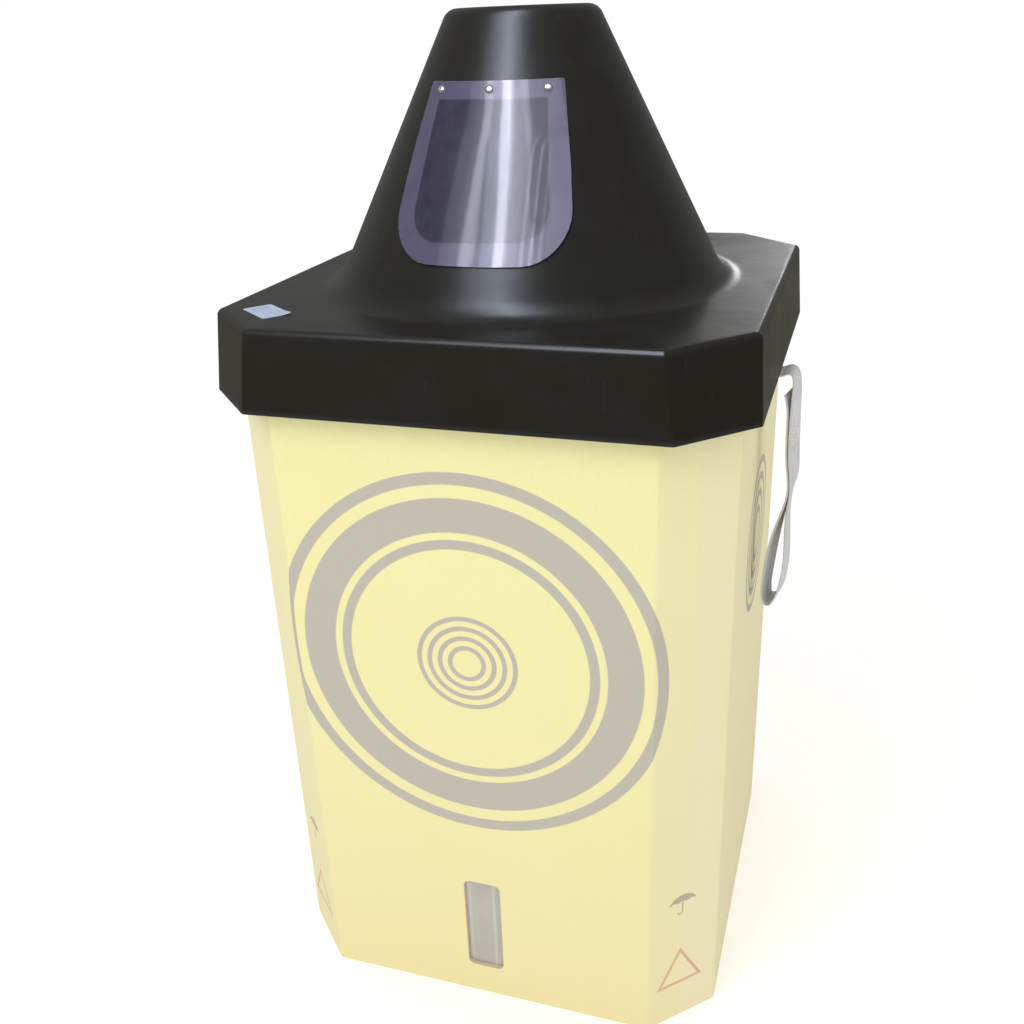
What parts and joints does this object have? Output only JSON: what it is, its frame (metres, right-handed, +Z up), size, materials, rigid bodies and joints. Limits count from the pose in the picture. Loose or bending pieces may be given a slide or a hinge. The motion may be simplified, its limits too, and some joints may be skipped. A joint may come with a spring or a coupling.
{
  "type": "bulk welding wire drum with dispensing hood",
  "caption": "Octagonal board drum of coiled wire under a black plastic hood whose cone has a riveted clear window flap, with webbing lifting loops.",
  "frame": {"origin": "centre of the drum's base, on the floor", "axes": "+Z up through the wire outlet, -Y towards the sight slot and the window, +X to the right as seen from the window's side"},
  "size_m": [0.693, 0.639, 1.233],
  "materials": {
    "printed_board": "smooth printed board, pale yellow with grey print",
    "liner_board": "plain brown board",
    "fibre_board": "pressed fibre board",
    "pad_board": "corrugated board",
    "tube_board": "spiral-wound board tube",
    "coppered_wire": "drawn steel wire with a bright copper coating",
    "sight_film": "thin translucent film",
    "webbing": "woven polyester webbing, pale grey",
    "retainer_plastic": "moulded black plastic",
    "clip_plastic": "moulded white plastic",
    "hood_plastic": "vacuum-formed black sheet, satin",
    "window_sheet": "clear flexible sheet, lightly scuffed",
    "rivet_metal": "domed blind rivets, bright",
    "washer_metal": "zinc-plated steel",
    "label_paper": "coated paper label, pale blue",
    "outlet_plastic": "moulded black nylon",
    "seal_rubber": "soft black rubber"
  },
  "bodies": {
    "drum": {"outer_sleeve": "printed_board", "inner_liner": "liner_board", "base_tray": "fibre_board", "base_pad": "pad_board", "core_tube": "tube_board", "wire_coil": "coppered_wire", "sight_film": "sight_film", "sling_belt": "webbing"},
    "retainer": {"retainer_ring": "retainer_plastic", "wire_tail": "coppered_wire", "tail_clips": "clip_plastic"},
    "hood": {"hood_shell": "hood_plastic", "window_strip": "window_sheet", "window_rivets": "rivet_metal", "rivet_washers": "washer_metal", "lid_label": "label_paper", "outlet_bush": "outlet_plastic", "outlet_seal": "seal_rubber", "outlet_washer": "washer_metal", "outlet_nut": "outlet_plastic"},
    "window": {"window_flap": "window_sheet"},
    "loop_right": {"strap_right": "webbing"},
    "loop_left": {"strap_left": "webbing"}
  },
  "joints": [
    {"name": "hood_lift", "type": "slide", "parent": "drum", "child": "hood", "axis": [0, 0, 1], "range_m": [0, 0.15]},
    {"name": "window_lift", "type": "hinge", "parent": "hood", "child": "window", "pos_m": [0, -0.113, 1.128], "axis": [-1, 0, 0], "range_deg": [0, 35], "stiffness_Nm_per_rad": 0.15, "springref_deg": -8.59},
    {"name": "strap_right_swing", "type": "hinge", "parent": "drum", "child": "loop_right", "pos_m": [0.3255, -0.03, 0.824], "axis": [0, -1, 0], "range_deg": [0, 50]},
    {"name": "strap_left_swing", "type": "hinge", "parent": "drum", "child": "loop_left", "pos_m": [-0.3255, -0.03, 0.824], "axis": [0, 1, 0], "range_deg": [0, 50]},
    {"name": "retainer_descend", "type": "slide", "parent": "drum", "child": "retainer", "axis": [0, 0, 1], "range_m": [-0.5, 0], "deforming": ["wire_coil"]}
  ]
}
